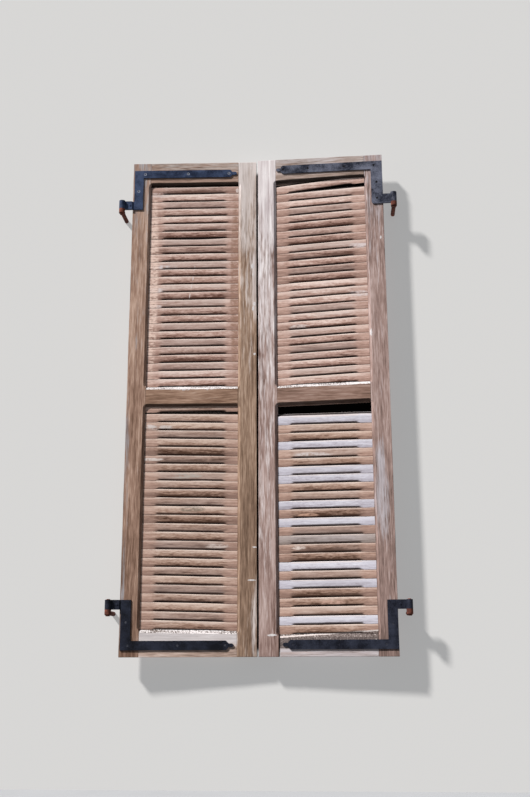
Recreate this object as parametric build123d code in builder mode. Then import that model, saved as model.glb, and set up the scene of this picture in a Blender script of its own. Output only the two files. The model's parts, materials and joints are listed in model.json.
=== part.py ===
"""A closed pair of old louvred wooden window shutters, hung by four iron corner straps on four wall pintles.

Millimetres, Z up. X runs along the window, Y points into the wall, and Z is 0 at the foot of the leaves.
Each leaf is built where it hangs, from a frame of its own: u runs from its hinge edge towards the meeting edge,
z runs up, and depth runs inwards from its front face.
"""
import math
import os
from collections import namedtuple

from build123d import *

os.makedirs("parts", exist_ok=True)

# The leaves
leaf_width = 546
leaf_height = 2134
leaf_thickness = 36
meeting_gap = 6
left_closed_angle = 2.8
right_closed_angle = 1.7

# The frame members
stile_width = 79
top_rail_height = 104
mid_rail_underside = 1017
mid_rail_face = 73
left_bottom_rail_face = 91
right_bottom_rail_face = 74
edge_chamfer = 10
chamfer_corner_radius = 20
right_top_rail_drop = 0.025
right_mid_rail_drop = 0.021
right_bottom_rail_drop = 0.005
left_bottom_rail_drop = 0.017

# The joints of the frame
tenon_thickness = 12
tenon_depth = 13
top_tenon_height = 48
mid_tenon_height = 36
bottom_tenon_height = 48
bottom_tenon_foot = 20
mortise_play = 0.15
shoulder_play = 0.1
open_shoulder = 5

# The slats
slat_recess = 11
slat_thickness = 16
left_upper_pitch = 35.4
left_lower_pitch = 35.2
right_upper_pitch = 35.05
right_lower_pitch = 35.15
slat_gap = 0.3
slat_end_play = 1.5
groove_depth = 12
groove_play = 0.4
groove_foot_play = 1
air_slot = 5.6
air_slot_half_length = 152
slot_unevenness = 0.9
slat_unevenness = 0.5
bowed_slat = 18
bowed_slat_sag = 5
lifted_slat_drop = -0.007
slat_lift = 9
loose_slat_room = 4
slat_entry = 3
rail_groove_room = 1

# The iron straps
strap_thickness = 5
nose_length = 21
nose_width = 14
nose_corner_cut = 8
eye_offset = 45
eye_play = 0.08
tail_stop = 1.5

# The screws and rivets
screw_shank_radius = 2.3
screw_head_radius = 4.7
screw_length = 30
screw_sink = 0.8
screw_slot_width = 1.2
screw_slot_depth = 0.9
screw_play = 0.2
rivet_offset = 10
rivet_shank_radius = 2.8
rivet_head_radius = 4.6
rivet_head_height = 2.4
rivet_play = 0.1

# The pintles
pin_radius = 8
pin_stand = 3
pin_tip_chamfer = 2.5
boss_radius = 13
boss_height = 26
boss_foot_chamfer = 7
seat_play = 0.2
shank_radius = 9
shank_reach = 105
shank_chamfer = 2
collar_radius = 11.5
collar_reach = 16

# What follows from them
overcut = 1
bore_radius = pin_radius + eye_play
eye_radius = bore_radius + strap_thickness
pin_x = eye_offset + leaf_width + meeting_gap / 2
pin_y = (eye_radius - shank_reach) / 2
opening_start = stile_width
opening_end = leaf_width - stile_width
opening_middle = leaf_width / 2
opening_half = opening_middle - opening_start
slat_half = opening_half + groove_depth - slat_end_play
slat_rise = slat_thickness
rail_groove = slat_rise + slat_lift + slat_entry + rail_groove_room
top_rail_underside = leaf_height - top_rail_height

Leaf = namedtuple("Leaf", "side angle")
left = Leaf(1, left_closed_angle)
right = Leaf(-1, right_closed_angle)


def along(leaf):
    """The way from the hinge edge of a leaf to its meeting edge."""
    turn = math.radians(leaf.angle)
    return Vector(leaf.side * math.cos(turn), math.sin(turn), 0)


def inward(leaf):
    """The way from the front face of a leaf to its back."""
    turn = math.radians(leaf.angle)
    return Vector(-leaf.side * math.sin(turn), math.cos(turn), 0)


def pin_axis(leaf):
    """The foot of the axis that a leaf swings about."""
    return Vector(-leaf.side * pin_x, pin_y, 0)


def front(leaf, depth):
    """The upright plane of a leaf at a depth behind its front face, with u and z as its axes."""
    corner = pin_axis(leaf) + along(leaf) * eye_offset + inward(leaf) * (eye_radius + depth)
    return Plane(origin=corner, x_dir=along(leaf), z_dir=inward(leaf) * -leaf.side)


def plan(leaf, height):
    """The level plane of a leaf at a height, centred on its pin, with the way along and the way in as its axes."""
    return Plane(origin=pin_axis(leaf) + Vector(0, 0, height), x_dir=along(leaf), z_dir=(0, 0, leaf.side))


def outline(plane, points):
    """A flat shape with straight sides on a plane."""
    with BuildSketch(plane) as shape:
        with BuildLine():
            Polyline(*points, close=True)
        make_face()
    return shape.sketch


def discs(plane, points, radius):
    """Equal round shapes on a plane."""
    with BuildSketch(plane) as shape:
        with Locations(*points):
            Circle(radius)
    return shape.sketch


# A line across a leaf: its height at the middle of the opening and its drop towards the meeting edge
Line = namedtuple("Line", "height drop")


def height_at(line, u):
    """The height of a line at a distance from the hinge edge."""
    return line.height - line.drop * (u - opening_middle)


def band(low, high, start, end):
    """The four corners between two lines across a leaf."""
    return [
        (start, height_at(low, start)),
        (end, height_at(low, end)),
        (end, height_at(high, end)),
        (start, height_at(high, start)),
    ]


def raised(line, amount):
    """The same line, higher."""
    return Line(line.height + amount, line.drop)


# A rail: the line of its underside, the line of its front top corner, its tenon's heights and its open shoulder
Rail = namedtuple("Rail", "underside corner tenon_foot tenon_top shoulder")
left_top = Rail(
    underside=Line(top_rail_underside, 0),
    corner=Line(leaf_height, 0),
    tenon_foot=leaf_height - bottom_tenon_foot - top_tenon_height,
    tenon_top=leaf_height - bottom_tenon_foot,
    shoulder=0,
)
right_top = left_top._replace(underside=Line(top_rail_underside, right_top_rail_drop))
mid_rail_corner = mid_rail_underside + mid_rail_face
mid_tenon_foot = mid_rail_underside + rail_groove + (leaf_thickness - slat_rise) / 4
left_mid = Rail(
    underside=Line(mid_rail_underside, 0),
    corner=Line(mid_rail_corner, 0),
    tenon_foot=mid_tenon_foot,
    tenon_top=mid_tenon_foot + mid_tenon_height,
    shoulder=0,
)
right_mid = left_mid._replace(
    underside=Line(mid_rail_underside, right_mid_rail_drop),
    corner=Line(mid_rail_corner, right_mid_rail_drop),
)
left_bottom = Rail(
    underside=Line(0, 0),
    corner=Line(left_bottom_rail_face, left_bottom_rail_drop),
    tenon_foot=bottom_tenon_foot,
    tenon_top=bottom_tenon_foot + bottom_tenon_height,
    shoulder=0,
)
right_bottom = left_bottom._replace(
    corner=Line(right_bottom_rail_face, right_bottom_rail_drop),
    shoulder=open_shoulder,
)

# A panel of slats: its leaf, the rails under and over it, its pitch, and how the slats lean at its foot and its head
Panel = namedtuple("Panel", "leaf sill head pitch lean_low lean_high")
left_upper = Panel(left, left_mid, left_top, left_upper_pitch, -0.012, -0.006)
left_lower = Panel(left, left_bottom, left_mid, left_lower_pitch, 0.030, 0.013)
right_upper = Panel(right, right_mid, right_top, right_upper_pitch, 0.042, 0.050)
right_lower = Panel(right, right_bottom, right_mid, right_lower_pitch, 0.011, 0.006)
left_rails = (left_top, left_mid, left_bottom)
left_panels = (left_upper, left_lower)
right_rails = (right_top, right_mid, right_bottom)
right_panels = (right_upper, right_lower)


def seat(panel):
    """The line that the lowest slat of a panel sits on, at the slats' front faces."""
    return raised(panel.sill.corner, slat_recess)


def slats_that_fit(panel):
    """The number of slats of a full panel, the top one reaching a little way up behind the rail."""
    return int((panel.head.underside.height + slat_entry - seat(panel).height) / panel.pitch)


right_lower_count = slats_that_fit(right_lower) - 1
pale_slats = {right_lower_count - place for place in (1, 4, 7, 8, 11, 13, 18, 20, 24)}
grey_slats = {right_lower_count - 15}


def joint_line(panel, number):
    """The line between one slat and the next, counted from the seat."""
    if number == 0:
        return seat(panel)
    lean = panel.lean_low + (panel.lean_high - panel.lean_low) * number / slats_that_fit(panel)
    wander = slat_unevenness * math.sin(number * number)
    return Line(seat(panel).height + number * panel.pitch + wander, lean)


def slat_face(panel, low, high, slot, sag):
    """The front face of one slat, with its air slot cut into the lower edge and its upper edge sagging."""
    reach = air_slot_half_length
    lower = [
        (-slat_half, 0), (-reach, 0), (-reach * 0.92, slot * 0.5), (-reach * 0.78, slot * 0.9), (0, slot),
        (reach * 0.78, slot * 0.9), (reach * 0.92, slot * 0.5), (reach, 0), (slat_half, 0),
    ]
    upper = [(slat_half, 0), (slat_half / 2, -sag * 0.7), (0, -sag), (-slat_half / 2, -sag * 0.7), (-slat_half, 0)]
    if sag == 0:
        upper = [upper[0], upper[-1]]
    points = [(opening_middle + x, height_at(low, opening_middle + x) + lift) for x, lift in lower]
    points += [(opening_middle + x, height_at(high, opening_middle + x) + lift) for x, lift in upper]
    return outline(front(panel.leaf, slat_recess), points)


def add_slat(panel, low, high, slot=air_slot, sag=0):
    """One slat, which rises at 45 degrees from its front face to its back."""
    slope = inward(panel.leaf) + Vector(0, 0, 1)
    extrude(slat_face(panel, low, high, slot, sag), amount=slope.length * slat_thickness, dir=slope)


def add_stack(panel, numbers, bowed=None):
    """The slats of a panel with the given numbers, counted from the seat, each a solid of its own."""
    for number in numbers:
        slot = air_slot + slot_unevenness * math.sin(3 * number * number)
        sag = bowed_slat_sag if number == bowed else 0
        low = raised(joint_line(panel, number), slat_gap)
        add_slat(panel, low, joint_line(panel, number + 1), slot, sag)


def cut_groove(panel, start, end):
    """The upright groove of a stile that holds the ends of a panel's slats."""
    low = raised(seat(panel), -groove_foot_play)
    high = raised(panel.head.underside, rail_groove)
    drop = abs(low.drop) * groove_depth + abs(high.drop) * groove_depth
    foot = min(height_at(low, start), height_at(low, end)) - drop
    top = max(height_at(high, start), height_at(high, end))
    shape = outline(
        front(panel.leaf, slat_recess - groove_play), [(start, foot), (end, foot), (end, top), (start, top)]
    )
    extrude(shape, amount=slat_thickness + 2 * groove_play, dir=inward(panel.leaf), mode=Mode.SUBTRACT)


def cut_chamfer(panel):
    """The stopped chamfer round the front of a panel's opening, with rounded corners."""
    reach = edge_chamfer + overcut
    low = raised(panel.sill.corner, overcut / 2)
    high = raised(panel.head.underside, reach)
    with BuildSketch(front(panel.leaf, -overcut)) as mouth:
        with BuildLine():
            Polyline(*band(low, high, opening_start - reach, opening_end + reach), close=True)
        make_face()
        fillet(mouth.vertices(), radius=chamfer_corner_radius)
    extrude(mouth.sketch, amount=reach, dir=inward(panel.leaf), taper=45, mode=Mode.SUBTRACT)


def cut_mortise(leaf, rail, start, end):
    """The mortise of a stile for a rail's tenon, right through it."""
    foot = rail.tenon_foot - mortise_play
    top = rail.tenon_top + mortise_play
    shape = outline(front(leaf, tenon_depth - mortise_play), [(start, foot), (end, foot), (end, top), (start, top)])
    extrude(shape, amount=tenon_thickness + 2 * mortise_play, dir=inward(leaf), mode=Mode.SUBTRACT)


def make_stile(start, end, rails, panels, groove_start, groove_end):
    """One upright of a leaf, with its mortises, slat grooves and chamfers."""
    leaf = panels[0].leaf
    face = [(start, 0), (end, 0), (end, leaf_height), (start, leaf_height)]
    extrude(outline(front(leaf, 0), face), amount=leaf_thickness, dir=inward(leaf))
    for rail in rails:
        cut_mortise(leaf, rail, start - overcut, end + overcut)
    for panel in panels:
        cut_groove(panel, groove_start, groove_end)
        cut_chamfer(panel)


def make_rail(leaf, rail, bevelled, grooved):
    """One level member of a leaf with its through tenon, its bevelled top and the slat groove in its underside."""
    start = opening_start + shoulder_play
    end = opening_end - max(shoulder_play, rail.shoulder)
    top = raised(rail.corner, leaf_thickness if bevelled else 0)
    extrude(outline(front(leaf, 0), band(rail.underside, top, start, end)), amount=leaf_thickness, dir=inward(leaf))
    if bevelled:
        slope = inward(leaf) + Vector(0, 0, 1)
        above = band(rail.corner, raised(rail.corner, 2 * leaf_thickness), start - overcut, end + overcut)
        extrude(
            outline(front(leaf, 0), above),
            amount=slope.length * (leaf_thickness + overcut),
            dir=slope,
            mode=Mode.SUBTRACT,
        )
    if grooved:
        low = raised(rail.underside, -overcut)
        high = raised(rail.underside, rail_groove)
        shape = outline(front(leaf, slat_recess - groove_play), band(low, high, start - overcut, end + overcut))
        extrude(shape, amount=slat_thickness + 2 * groove_play, dir=inward(leaf), mode=Mode.SUBTRACT)
    tongue = [
        (0, rail.tenon_foot), (leaf_width, rail.tenon_foot), (leaf_width, rail.tenon_top), (0, rail.tenon_top),
    ]
    extrude(outline(front(leaf, tenon_depth), tongue), amount=tenon_thickness, dir=inward(leaf))


# A corner strap: its leaf, the height of its corner, the way its upright runs (1 up, -1 down), how far it stands in
# from the leaf's edge, how far its nose stops short of the meeting stile, the sizes of its two arms and its lug, the
# radius inside its corner, whether the end of its eye is lapped and riveted, and its screws as parts of the arms
Strap = namedtuple("Strap", "leaf corner way inset stop arm bar upright lug inner riveted bar_screws upright_screws")
left_top_hinge = Strap(
    leaf=left, corner=leaf_height - 37, way=-1, inset=6, stop=8, arm=39, bar=35, upright=187, lug=38, inner=1.5,
    riveted=True, bar_screws=(0.121, 0.557, 0.970), upright_screws=(0.53,),
)
right_top_hinge = Strap(
    leaf=right, corner=leaf_height - 32, way=-1, inset=0.5, stop=2, arm=49.5, bar=38, upright=202, lug=44, inner=12,
    riveted=False, bar_screws=(0.081, 0.374, 0.732, 0.977), upright_screws=(0.50, 0.876),
)
left_bottom_hinge = Strap(
    leaf=left, corner=27, way=1, inset=5, stop=14, arm=39.6, bar=36, upright=195, lug=38, inner=1.5,
    riveted=True, bar_screws=(0.081, 0.537, 0.972), upright_screws=(0.554,),
)
right_bottom_hinge = Strap(
    leaf=right, corner=28.6, way=1, inset=0.5, stop=16, arm=40.5, bar=36, upright=187, lug=36, inner=1.5,
    riveted=True, bar_screws=(0.114, 0.540, 0.958), upright_screws=(0.504,),
)


def bar_end(strap):
    """Where the bar of a strap ends and its nose begins."""
    return opening_end - strap.stop - nose_length


def screw_points(strap):
    """Where the screws of a strap stand on its leaf."""
    bar = [(part * bar_end(strap), strap.corner + strap.way * strap.bar / 2) for part in strap.bar_screws]
    post = strap.inset + strap.arm / 2
    return bar + [(post, strap.corner + strap.way * part * strap.upright) for part in strap.upright_screws]


def lug_foot(strap):
    """The height of the lower end of a strap's lug and eye."""
    end = strap.corner + strap.way * strap.upright
    return end if strap.way < 0 else end - strap.lug


def cut_screw_holes(strap):
    """The blind holes that a strap's screws turn into, in one wooden member."""
    shape = discs(front(strap.leaf, -overcut), screw_points(strap), screw_shank_radius + screw_play)
    depth = overcut + screw_length - strap_thickness + screw_sink + screw_play
    extrude(shape, amount=depth, dir=inward(strap.leaf), mode=Mode.SUBTRACT)


def strap_face(strap):
    """The face of a strap: the bar with its nose, the upright, and the lug that runs to the eye."""
    middle = strap.bar / 2
    end = bar_end(strap)
    shelf = end - nose_corner_cut
    tip = end + nose_length - nose_width / 2
    half = nose_width / 2
    inner = strap.inset + strap.arm
    points = [
        (strap.inset, 0), (shelf, 0), (end, nose_corner_cut), (end, middle - half),
        (tip, middle - half), (tip, middle + half), (end, middle + half),
        (end, strap.bar - nose_corner_cut), (shelf, strap.bar), (inner, strap.bar), (inner, strap.upright),
        (-eye_offset, strap.upright), (-eye_offset, strap.upright - strap.lug),
        (strap.inset, strap.upright - strap.lug),
    ]
    with BuildSketch(front(strap.leaf, -strap_thickness)) as face:
        with BuildLine():
            Polyline(*[(u, strap.corner + strap.way * run) for u, run in points], close=True)
        make_face()
        with Locations((tip, strap.corner + strap.way * middle)):
            Circle(half)
        corner = face.vertices().sort_by_distance(
            front(strap.leaf, -strap_thickness).from_local_coords((inner, strap.corner + strap.way * strap.bar, 0))
        )[0]
        fillet(corner, radius=strap.inner)
    return face.sketch


def rivet_point(strap):
    """Where the rivet of a lapped eye stands on the lug."""
    return (-rivet_offset, lug_foot(strap) + strap.lug / 2)


def make_strap(strap):
    """One strap of flat iron, its end rolled forward into an eye, with countersunk screw holes."""
    ahead = inward(strap.leaf)
    extrude(strap_face(strap), amount=strap_thickness, dir=ahead)
    with BuildSketch(plan(strap.leaf, lug_foot(strap))) as eye:
        Circle(eye_radius)
        if strap.riveted:
            with BuildLine():
                tail_front = bore_radius - strap_thickness
                tail_end = eye_offset - tail_stop
                Polyline((0, tail_front), (tail_end, tail_front), (tail_end, bore_radius), (0, bore_radius), close=True)
            make_face()
        Circle(bore_radius, mode=Mode.SUBTRACT)
    extrude(eye.sketch, amount=strap.lug, dir=(0, 0, 1))
    shank = screw_shank_radius + screw_play
    mouth = screw_head_radius + screw_play + screw_sink + overcut
    through = discs(front(strap.leaf, -strap_thickness - overcut), screw_points(strap), shank)
    extrude(through, amount=strap_thickness + 2 * overcut, dir=ahead, mode=Mode.SUBTRACT)
    cone = discs(front(strap.leaf, -strap_thickness - overcut), screw_points(strap), mouth)
    extrude(cone, amount=mouth - shank, dir=ahead, taper=45, mode=Mode.SUBTRACT)
    if strap.riveted:
        hole = discs(front(strap.leaf, -3 * strap_thickness), [rivet_point(strap)], rivet_shank_radius + rivet_play)
        extrude(hole, amount=4 * strap_thickness, dir=ahead, mode=Mode.SUBTRACT)


def make_screws(strap):
    """The countersunk slotted screws of one strap, each a solid of its own."""
    ahead = inward(strap.leaf)
    face = screw_sink - strap_thickness
    for number, point in enumerate(screw_points(strap)):
        shank = discs(front(strap.leaf, face), [point], screw_shank_radius)
        extrude(shank, amount=screw_length, dir=ahead)
        head = discs(front(strap.leaf, face), [point], screw_head_radius)
        extrude(head, amount=screw_head_radius - screw_shank_radius, dir=ahead, taper=45)
        with BuildSketch(front(strap.leaf, face)) as slot:
            with Locations(Location(point, 50 * number)):
                Rectangle(2 * screw_head_radius + overcut, screw_slot_width)
        extrude(slot.sketch, amount=screw_slot_depth, dir=ahead, mode=Mode.SUBTRACT)


def make_rivet(strap):
    """The rivet that closes a lapped eye, with a round head in front and a flat one behind."""
    ahead = inward(strap.leaf)
    tail_face = -2 * strap_thickness
    shank = discs(front(strap.leaf, tail_face), [rivet_point(strap)], rivet_shank_radius)
    extrude(shank, amount=2 * strap_thickness, dir=ahead)
    head = discs(front(strap.leaf, tail_face), [rivet_point(strap)], rivet_head_radius)
    extrude(head, amount=rivet_head_height, dir=-ahead, taper=35)
    tail = discs(front(strap.leaf, 0), [rivet_point(strap)], rivet_head_radius)
    extrude(tail, amount=rivet_head_height / 2, dir=ahead, taper=35)


def make_pintle(strap):
    """The pintle that carries a strap's eye: a pin on a boss, with a collared round shank that goes into the wall."""
    foot = lug_foot(strap)
    axis = pin_axis(strap.leaf)
    boss_top = foot - seat_play
    level = Plane(origin=(axis.X, axis.Y, boss_top - boss_height), x_dir=(1, 0, 0), z_dir=(0, 0, 1))
    boss = extrude(discs(level, [(0, 0)], boss_radius), amount=boss_height)
    chamfer(boss.edges().sort_by(Axis.Z)[0], length=boss_foot_chamfer)
    pin = extrude(discs(level, [(0, 0)], pin_radius), amount=boss_height + seat_play + strap.lug + pin_stand)
    chamfer(pin.edges().sort_by(Axis.Z)[-1], length=pin_tip_chamfer)
    behind = Plane(origin=(axis.X, axis.Y, boss_top - boss_height / 2), x_dir=(1, 0, 0), z_dir=(0, 1, 0))
    shank = extrude(discs(behind, [(0, 0)], shank_radius), amount=shank_reach)
    chamfer(shank.edges().sort_by(Axis.Y)[-1], length=shank_chamfer)
    extrude(discs(behind, [(0, 0)], collar_radius), amount=collar_reach)


# Left leaf: the stile at the hinges, which both straps are screwed to
with BuildPart() as left_outer_stile:
    make_stile(0, opening_start, left_rails, left_panels, opening_start - groove_depth, opening_start + overcut)
    cut_screw_holes(left_top_hinge)
    cut_screw_holes(left_bottom_hinge)
left_outer_stile.part.label = "left_outer_stile"
export_step(left_outer_stile.part, "parts/left_outer_stile.step")

# Left leaf: the stile at the meeting edge
with BuildPart() as left_meeting_stile:
    make_stile(opening_end, leaf_width, left_rails, left_panels, opening_end - overcut, opening_end + groove_depth)
left_meeting_stile.part.label = "left_meeting_stile"
export_step(left_meeting_stile.part, "parts/left_meeting_stile.step")

# Left leaf: the top rail, square above and grooved below for the slats
with BuildPart() as left_top_rail:
    make_rail(left, left_top, bevelled=False, grooved=True)
    cut_chamfer(left_upper)
    cut_screw_holes(left_top_hinge)
left_top_rail.part.label = "left_top_rail"
export_step(left_top_rail.part, "parts/left_top_rail.step")

# Left leaf: the middle rail, bevelled above and grooved below
with BuildPart() as left_mid_rail:
    make_rail(left, left_mid, bevelled=True, grooved=True)
    cut_chamfer(left_lower)
left_mid_rail.part.label = "left_mid_rail"
export_step(left_mid_rail.part, "parts/left_mid_rail.step")

# Left leaf: the bottom rail
with BuildPart() as left_bottom_rail:
    make_rail(left, left_bottom, bevelled=True, grooved=False)
    cut_screw_holes(left_bottom_hinge)
left_bottom_rail.part.label = "left_bottom_rail"
export_step(left_bottom_rail.part, "parts/left_bottom_rail.step")

# Right leaf: the stile at the hinges, which both straps are screwed to
with BuildPart() as right_outer_stile:
    make_stile(0, opening_start, right_rails, right_panels, opening_start - groove_depth, opening_start + overcut)
    cut_screw_holes(right_top_hinge)
    cut_screw_holes(right_bottom_hinge)
right_outer_stile.part.label = "right_outer_stile"
export_step(right_outer_stile.part, "parts/right_outer_stile.step")

# Right leaf: the stile at the meeting edge
with BuildPart() as right_meeting_stile:
    make_stile(opening_end, leaf_width, right_rails, right_panels, opening_end - overcut, opening_end + groove_depth)
right_meeting_stile.part.label = "right_meeting_stile"
export_step(right_meeting_stile.part, "parts/right_meeting_stile.step")

# Right leaf: the top rail, square above and grooved below for the slats
with BuildPart() as right_top_rail:
    make_rail(right, right_top, bevelled=False, grooved=True)
    cut_chamfer(right_upper)
    cut_screw_holes(right_top_hinge)
right_top_rail.part.label = "right_top_rail"
export_step(right_top_rail.part, "parts/right_top_rail.step")

# Right leaf: the middle rail, bevelled above and grooved below
with BuildPart() as right_mid_rail:
    make_rail(right, right_mid, bevelled=True, grooved=True)
    cut_chamfer(right_lower)
right_mid_rail.part.label = "right_mid_rail"
export_step(right_mid_rail.part, "parts/right_mid_rail.step")

# Right leaf: the bottom rail, whose shoulder has drawn away from the meeting stile
with BuildPart() as right_bottom_rail:
    make_rail(right, right_bottom, bevelled=True, grooved=False)
    cut_screw_holes(right_bottom_hinge)
right_bottom_rail.part.label = "right_bottom_rail"
export_step(right_bottom_rail.part, "parts/right_bottom_rail.step")

# Left leaf: the full upper stack of slats, one of them bowed
with BuildPart() as left_upper_slats:
    add_stack(left_upper, range(slats_that_fit(left_upper)), bowed_slat)
left_upper_slats.part.label = "left_upper_slats"
export_step(left_upper_slats.part, "parts/left_upper_slats.step")

# Left leaf: the lower stack, without its top slat
with BuildPart() as left_lower_slats:
    add_stack(left_lower, range(slats_that_fit(left_lower) - 1))
left_lower_slats.part.label = "left_lower_slats"
export_step(left_lower_slats.part, "parts/left_lower_slats.step")

# Left leaf: the top slat of the lower stack, which has slipped up into the groove of the rail
with BuildPart() as left_lifted_slat:
    stack_top = joint_line(left_lower, slats_that_fit(left_lower) - 1)
    lifted = Line(stack_top.height + slat_lift, lifted_slat_drop)
    add_slat(left_lower, lifted, raised(lifted, left_lower.pitch - slat_gap))
left_lifted_slat.part.label = "left_lifted_slat"
export_step(left_lifted_slat.part, "parts/left_lifted_slat.step")

# Right leaf: the upper stack, without its top slat
with BuildPart() as right_upper_slats:
    add_stack(right_upper, range(slats_that_fit(right_upper) - 1))
right_upper_slats.part.label = "right_upper_slats"
export_step(right_upper_slats.part, "parts/right_upper_slats.step")

# Right leaf: the loose top slat, which rests on the stack at one end and has ridden up at the other
with BuildPart() as right_loose_slat:
    stack_top = joint_line(right_upper, slats_that_fit(right_upper) - 1)
    slat_face_height = right_upper.pitch - slat_gap
    stack_end = opening_middle + slat_half
    raised_end = opening_middle - slat_half
    low_end = height_at(stack_top, stack_end) + slat_gap
    room = height_at(right_top.underside, raised_end) + rail_groove - slat_rise - loose_slat_room
    high_end = room - slat_face_height
    loose = Line((low_end + high_end) / 2, (high_end - low_end) / (2 * slat_half))
    add_slat(right_upper, loose, raised(loose, slat_face_height))
right_loose_slat.part.label = "right_loose_slat"
export_step(right_loose_slat.part, "parts/right_loose_slat.step")

# Right leaf: the lower slats that have kept their brown stain, with the top one of the stack missing
with BuildPart() as right_lower_slats:
    add_stack(right_lower, [n for n in range(right_lower_count) if n not in pale_slats | grey_slats])
right_lower_slats.part.label = "right_lower_slats"
export_step(right_lower_slats.part, "parts/right_lower_slats.step")

# Right leaf: the lower slats that have weathered to a pale blue grey
with BuildPart() as right_lower_pale_slats:
    add_stack(right_lower, [n for n in range(right_lower_count) if n in pale_slats])
right_lower_pale_slats.part.label = "right_lower_pale_slats"
export_step(right_lower_pale_slats.part, "parts/right_lower_pale_slats.step")

# Right leaf: the grey slat with a curved lower edge
with BuildPart() as right_lower_grey_slat:
    add_stack(right_lower, [n for n in range(right_lower_count) if n in grey_slats])
right_lower_grey_slat.part.label = "right_lower_grey_slat"
export_step(right_lower_grey_slat.part, "parts/right_lower_grey_slat.step")

# Left leaf: the top corner strap, its eye lapped over the lug and riveted
with BuildPart() as left_top_strap:
    make_strap(left_top_hinge)
left_top_strap.part.label = "left_top_strap"
export_step(left_top_strap.part, "parts/left_top_strap.step")

# Left leaf: the screws of the top strap
with BuildPart() as left_top_screws:
    make_screws(left_top_hinge)
left_top_screws.part.label = "left_top_screws"
export_step(left_top_screws.part, "parts/left_top_screws.step")

# Left leaf: the rivet of the top strap
with BuildPart() as left_top_rivet:
    make_rivet(left_top_hinge)
left_top_rivet.part.label = "left_top_rivet"
export_step(left_top_rivet.part, "parts/left_top_rivet.step")

# The pintle under the left leaf's top eye
with BuildPart() as left_top_pintle:
    make_pintle(left_top_hinge)
left_top_pintle.part.label = "left_top_pintle"
export_step(left_top_pintle.part, "parts/left_top_pintle.step")

# Right leaf: the top corner strap, the stouter one, with a plain rolled eye
with BuildPart() as right_top_strap:
    make_strap(right_top_hinge)
right_top_strap.part.label = "right_top_strap"
export_step(right_top_strap.part, "parts/right_top_strap.step")

# Right leaf: the screws of the top strap
with BuildPart() as right_top_screws:
    make_screws(right_top_hinge)
right_top_screws.part.label = "right_top_screws"
export_step(right_top_screws.part, "parts/right_top_screws.step")

# The pintle under the right leaf's top eye
with BuildPart() as right_top_pintle:
    make_pintle(right_top_hinge)
right_top_pintle.part.label = "right_top_pintle"
export_step(right_top_pintle.part, "parts/right_top_pintle.step")

# Left leaf: the bottom corner strap, its eye lapped over the lug and riveted
with BuildPart() as left_bottom_strap:
    make_strap(left_bottom_hinge)
left_bottom_strap.part.label = "left_bottom_strap"
export_step(left_bottom_strap.part, "parts/left_bottom_strap.step")

# Left leaf: the screws of the bottom strap
with BuildPart() as left_bottom_screws:
    make_screws(left_bottom_hinge)
left_bottom_screws.part.label = "left_bottom_screws"
export_step(left_bottom_screws.part, "parts/left_bottom_screws.step")

# Left leaf: the rivet of the bottom strap
with BuildPart() as left_bottom_rivet:
    make_rivet(left_bottom_hinge)
left_bottom_rivet.part.label = "left_bottom_rivet"
export_step(left_bottom_rivet.part, "parts/left_bottom_rivet.step")

# The pintle under the left leaf's bottom eye
with BuildPart() as left_bottom_pintle:
    make_pintle(left_bottom_hinge)
left_bottom_pintle.part.label = "left_bottom_pintle"
export_step(left_bottom_pintle.part, "parts/left_bottom_pintle.step")

# Right leaf: the bottom corner strap, its eye lapped over the lug and riveted
with BuildPart() as right_bottom_strap:
    make_strap(right_bottom_hinge)
right_bottom_strap.part.label = "right_bottom_strap"
export_step(right_bottom_strap.part, "parts/right_bottom_strap.step")

# Right leaf: the screws of the bottom strap
with BuildPart() as right_bottom_screws:
    make_screws(right_bottom_hinge)
right_bottom_screws.part.label = "right_bottom_screws"
export_step(right_bottom_screws.part, "parts/right_bottom_screws.step")

# Right leaf: the rivet of the bottom strap
with BuildPart() as right_bottom_rivet:
    make_rivet(right_bottom_hinge)
right_bottom_rivet.part.label = "right_bottom_rivet"
export_step(right_bottom_rivet.part, "parts/right_bottom_rivet.step")

# The pintle under the right leaf's bottom eye
with BuildPart() as right_bottom_pintle:
    make_pintle(right_bottom_hinge)
right_bottom_pintle.part.label = "right_bottom_pintle"
export_step(right_bottom_pintle.part, "parts/right_bottom_pintle.step")
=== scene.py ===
import json
import math

import bpy
from mathutils import Matrix, Vector

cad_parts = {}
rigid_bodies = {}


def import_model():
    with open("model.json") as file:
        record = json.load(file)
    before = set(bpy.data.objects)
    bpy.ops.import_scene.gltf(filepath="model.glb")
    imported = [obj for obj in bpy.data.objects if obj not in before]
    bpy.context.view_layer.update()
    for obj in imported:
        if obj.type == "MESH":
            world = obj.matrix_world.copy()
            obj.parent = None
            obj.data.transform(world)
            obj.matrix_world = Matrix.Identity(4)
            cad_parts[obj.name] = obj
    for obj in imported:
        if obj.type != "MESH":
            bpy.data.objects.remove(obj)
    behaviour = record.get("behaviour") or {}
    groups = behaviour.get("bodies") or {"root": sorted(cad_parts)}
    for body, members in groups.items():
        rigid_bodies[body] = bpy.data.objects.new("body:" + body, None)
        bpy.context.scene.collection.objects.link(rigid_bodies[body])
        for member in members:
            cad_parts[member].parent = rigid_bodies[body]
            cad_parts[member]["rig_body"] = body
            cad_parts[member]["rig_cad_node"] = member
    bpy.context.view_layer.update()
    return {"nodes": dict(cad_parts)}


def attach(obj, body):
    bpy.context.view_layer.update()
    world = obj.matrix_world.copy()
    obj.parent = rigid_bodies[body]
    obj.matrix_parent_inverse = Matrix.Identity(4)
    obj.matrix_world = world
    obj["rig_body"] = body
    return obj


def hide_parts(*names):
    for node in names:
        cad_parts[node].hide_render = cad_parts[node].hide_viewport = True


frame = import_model()
bpy.ops.object.select_all(action="DESELECT")

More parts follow.
